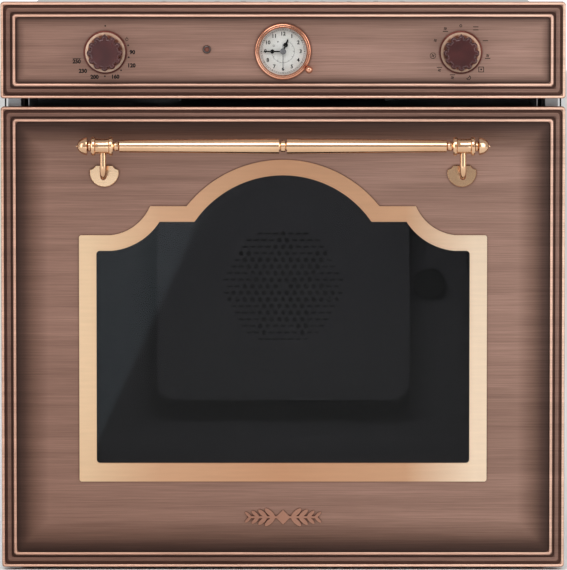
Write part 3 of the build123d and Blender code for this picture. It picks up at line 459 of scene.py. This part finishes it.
class Marks:
    # printed shapes gathered into one flat piece
    def __init__(self, name, middle):
        self.name = name
        self.middle = middle
        self.mesh = bmesh.new()

    def point(self, angle, radius):
        turn = math.radians(angle)
        return radius * math.sin(turn), radius * math.cos(turn)

    def face(self, outline):
        x0, y0, z0 = self.middle
        front = [self.mesh.verts.new((x0 + x * mm, y0 - inkThick, z0 + z * mm)) for x, z in outline]
        back = [self.mesh.verts.new((x0 + x * mm, y0, z0 + z * mm)) for x, z in outline]
        self.mesh.faces.new(front)
        self.mesh.faces.new(back[::-1])
        for step in range(len(outline)):
            after = (step + 1) % len(outline)
            self.mesh.faces.new((front[after], front[step], back[step], back[after]))

    def dot(self, x, z, radius, sides=20):
        turns = [2 * math.pi * step / sides for step in range(sides)]
        self.face([(x + radius * math.sin(turn), z + radius * math.cos(turn)) for turn in turns])

    def stroke(self, x0, z0, x1, z1, width):
        length = math.hypot(x1 - x0, z1 - z0)
        sideX, sideZ = (z1 - z0) / length * width / 2, -(x1 - x0) / length * width / 2
        self.face([(x0 + sideX, z0 + sideZ), (x1 + sideX, z1 + sideZ), (x1 - sideX, z1 - sideZ),
                   (x0 - sideX, z0 - sideZ)])

    def ring(self, x, z, radius, width, start=0, end=360, steps=24):
        for step in range(steps):
            first = math.radians(start + (end - start) * step / steps)
            last = math.radians(start + (end - start) * (step + 1) / steps)
            near, far = radius - width / 2, radius + width / 2
            self.face([(x + near * math.sin(first), z + near * math.cos(first)),
                       (x + far * math.sin(first), z + far * math.cos(first)),
                       (x + far * math.sin(last), z + far * math.cos(last)),
                       (x + near * math.sin(last), z + near * math.cos(last))])

    def number(self, text, x, z, height, weight=0.0):
        curve = bpy.data.curves.new(self.name + text, "FONT")
        curve.body = text
        curve.size = height / 0.72 * mm
        curve.align_x = "CENTER"
        curve.align_y = "CENTER"
        curve.offset = weight * mm
        curve.extrude = inkThick / 2
        curve.resolution_u = 3
        holder = bpy.data.objects.new(self.name + text, curve)
        scene.collection.objects.link(holder)
        holder.location = (self.middle[0] + x * mm, self.middle[1] - inkThick / 2, self.middle[2] + z * mm)
        holder.rotation_euler = (math.pi / 2, 0, 0)
        bpy.context.view_layer.update()
        made = holder.to_mesh()
        made.transform(holder.matrix_world)
        self.mesh.from_mesh(made)
        holder.to_mesh_clear()
        bpy.data.objects.remove(holder)
        bpy.data.curves.remove(curve)

    def make(self, material, body):
        bmesh.ops.remove_doubles(self.mesh, verts=self.mesh.verts, dist=1e-7)
        bmesh.ops.recalc_face_normals(self.mesh, faces=self.mesh.faces)
        data = bpy.data.meshes.new(self.name)
        self.mesh.to_mesh(data)
        self.mesh.free()
        data.materials.append(material)
        piece = bpy.data.objects.new(self.name, data)
        scene.collection.objects.link(piece)
        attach(piece, body)
        return piece


# the temperature scale, clockwise from the top: angle and radius in mm
scaleSet = {"numbers": [("90", 90, 28.6), ("120", 117, 31.0), ("160", 158, 28.0), ("200", 203.5, 28.6),
                        ("230", 230, 31.0), ("250", 252, 31.8)],
            "dots": [(0, 27.9), (73, 25.3), (102, 25.3), (139, 25.3), (181, 25.3)],
            "height": 4.1, "dot": 0.85, "flame": (59, 26.6)}
# the ten programmes: angle, radius and the strokes that make up each symbol
iconSet = {"ring": (0, 28.0), "bars": [(32, 29.8, (1.6, -1.6)), (62, 29.4, (-1.6,))],
           "fans": [(97, 28.6, (-3.0,), False), (198, 28.2, (3.0,), False), (230, 29.4, (3.0,), False),
                    (263, 29.6, (), True), (295, 29.7, (), False), (327, 29.9, (-3.0,), False)],
           "boxed": (130, 28.2), "leaf": (163, 28.0)}


def drawFan(marks, x, z):
    for blade in range(4):
        turn = math.radians(45 + 90 * blade)
        side = math.radians(45 + 90 * blade + 50)
        marks.face([(x, z), (x + 2.1 * math.sin(turn), z + 2.1 * math.cos(turn)),
                    (x + 1.5 * math.sin(side), z + 1.5 * math.cos(side))])


def makeScale(ink):
    marks = Marks("temperatureScale", (-knobX, fieldY, knobZ))
    for text, angle, radius in scaleSet["numbers"]:
        x, z = marks.point(angle, radius)
        marks.number(text, x, z, scaleSet["height"], 0.26)
    x, z = marks.point(252, 31.8)
    marks.stroke(x - 4.2, z + 3.2, x + 4.2, z + 3.2, 0.6)
    for angle, radius in scaleSet["dots"]:
        marks.dot(*marks.point(angle, radius), scaleSet["dot"])
    x, z = marks.point(*scaleSet["flame"])
    marks.ring(x, z, 1.3, 0.5)
    marks.stroke(x, z + 1.4, x, z + 2.6, 0.5)
    marks.make(ink, "case")


def makeIcons(ink):
    marks = Marks("programmeSymbols", (knobX, fieldY, knobZ))
    x, z = marks.point(*iconSet["ring"])
    marks.ring(x, z, 1.2, 0.6)
    for angle, radius, rises in iconSet["bars"]:
        x, z = marks.point(angle, radius)
        for rise in rises:
            marks.stroke(x - 2.8, z + rise, x + 2.8, z + rise, 0.7)
    for angle, radius, rises, circled in iconSet["fans"]:
        x, z = marks.point(angle, radius)
        drawFan(marks, x, z)
        for rise in rises:
            marks.stroke(x - 2.8, z + rise, x + 2.8, z + rise, 0.7)
        if circled:
            marks.ring(x, z, 3.0, 0.5)
    x, z = marks.point(*iconSet["boxed"])
    for rise in (-2.6, 2.6):
        marks.stroke(x - 2.8, z + rise, x + 2.8, z + rise, 0.6)
        marks.stroke(x + rise, z - 2.8, x + rise, z + 2.8, 0.6)
    marks.dot(x, z, 0.9)
    x, z = marks.point(*iconSet["leaf"])
    marks.ring(x, z, 2.2, 0.6, 20, 250)
    marks.stroke(x - 1.6, z - 1.6, x + 1.8, z + 1.8, 0.6)
    marks.make(ink, "case")


dialSet = {"trackInner": 22.3, "trackOuter": 23.6, "numeralRadius": 18.6, "numeral": 4.0, "arc": 12.0}


def makeDialMarks(ink):
    marks = Marks("dialMarks", (0.0, dialLow.y, clockZ))
    for radius in (dialSet["trackInner"], dialSet["trackOuter"]):
        marks.ring(0, 0, radius, 0.22, steps=72)
    for minute in range(60):
        wide = 0.7 if minute % 5 == 0 else 0.25
        marks.stroke(*marks.point(6 * minute, dialSet["trackInner"]),
                     *marks.point(6 * minute, dialSet["trackOuter"]), wide)
    for hour in range(1, 13):
        marks.number(str(hour), *marks.point(30 * hour, dialSet["numeralRadius"]), dialSet["numeral"], 0.16)
    marks.ring(0, 0, dialSet["arc"], 0.25, 30, 270, 48)
    for step in range(9):
        marks.stroke(*marks.point(30 + 30 * step, dialSet["arc"]), *marks.point(30 + 30 * step, 10.6), 0.4)
    marks.ring(*marks.point(302, 11.5), 0.9, 0.35)
    marks.dot(*marks.point(332, 11.5), 0.7)
    marks.make(ink, "case")


def makeDiscMark(ink, side, body):
    # a small four-leaf ornament in the middle of each knob's disc
    marks = Marks(body + "DiscMark", (side * knobX, discLow.y, knobZ))
    for leaf in range(4):
        turn = 90 * leaf
        x, z = marks.point(turn, 2.0)
        marks.dot(x, z, 1.1)
    marks.ring(0, 0, 4.9, 0.35)
    marks.make(ink, body)


# ---- stage

lightSet = {"world": 0.55, "key": 60.0, "right": 34.0, "left": 16.0, "cavity": 14.0, "card": 2.6}


stageSet = {"floorReach": 12, "floorLevel": -0.0006}


def stageCard(name, corners, colour, strength):
    # a glowing card: the backdrop is seen, and the others only light and mirror in the pieces
    data = bpy.data.meshes.new(name)
    data.from_pydata(corners, [], [tuple(range(len(corners)))])
    material = bpy.data.materials.new(name)
    material.use_nodes = True
    shader = material.node_tree.nodes["Principled BSDF"]
    shader.inputs["Base Color"].default_value = (0, 0, 0, 1)
    shader.inputs["Emission Color"].default_value = (*colour, 1)
    shader.inputs["Emission Strength"].default_value = strength
    data.materials.append(material)
    card = bpy.data.objects.new(name, data)
    scene.collection.objects.link(card)
    card.visible_camera = name == "backdrop"
    card.visible_shadow = False
    card.visible_diffuse = False


def makeStage():
    world = bpy.data.worlds.new("studio")
    scene.world = world
    world.use_nodes = True
    world.node_tree.nodes["Background"].inputs[0].default_value = (1, 1, 1, 1)
    world.node_tree.nodes["Background"].inputs[1].default_value = lightSet["world"]
    middle = Vector((0, fieldY, 0.3))
    areaLight("keyLight", middle + Vector((-0.6, -2.6, 2.4)), middle, 2.6, 1.6, lightSet["key"])
    areaLight("rightLight", middle + Vector((2.4, -1.8, 0.9)), middle, 1.4, 2.2, lightSet["right"])
    areaLight("leftLight", middle + Vector((-2.6, -1.2, 0.6)), middle, 0.8, 2.0, lightSet["left"])
    linerLow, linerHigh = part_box("cavity_liner")
    lamp = areaLight("cavityLight", (0, linerLow.y + 0.03, linerHigh.z - 0.07), (0, linerHigh.y, 0.25),
                     0.36, 0.04, lightSet["cavity"])
    lamp.visible_glossy = False
    # the card whose slanted edge the window mirrors; it lies in front of the oven
    stageCard("glassCard",
              [(-0.145, fieldY - 6.55, 0.0), (-1.6, fieldY - 6.55, 0.0), (-1.6, fieldY - 1.27, 0.0),
               (-0.237, fieldY - 1.27, 0.0)], (0.80, 0.92, 1.0), lightSet["card"])
    stageCard("backdrop", [(-12, 11.9, 0), (12, 11.9, 0), (12, 11.9, 8), (-12, 11.9, 8)], (1, 1, 1), 1.05)
    # a dim band behind the camera, for the dark line along the handle
    stageCard("horizonCard", [(-4, -7.6, 0.20), (4, -7.6, 0.20), (4, -7.6, 0.62), (-4, -7.6, 0.62)],
              (0.30, 0.20, 0.17), 0.12)
    floorMesh = bmesh.new()
    reach = stageSet["floorReach"]
    spots = ((-reach, -reach), (reach, -reach), (reach, reach), (-reach, reach))
    corners = [floorMesh.verts.new((x, y, stageSet["floorLevel"])) for x, y in spots]
    floorMesh.faces.new(corners)
    data = bpy.data.meshes.new("studioFloor")
    floorMesh.to_mesh(data)
    floorMesh.free()
    floor = bpy.data.objects.new("studioFloor", data)
    scene.collection.objects.link(floor)
    pale, paler = toLinear(250, 250, 249), toLinear(253, 253, 252)
    data.materials.append(simpleFinish("floorPaint", pale, paler, 3, 0.7, 0.8))


makeCamera()
finishes = makeFinishes()
makeScale(finishes["inkBlack"])
makeIcons(finishes["inkBlack"])
makeDialMarks(finishes["inkBlack"])
makeDiscMark(finishes["inkGrey"], -1, "thermostat")
makeDiscMark(finishes["inkGrey"], 1, "selector")
makeStage()
print("camera, finishes and stage made")
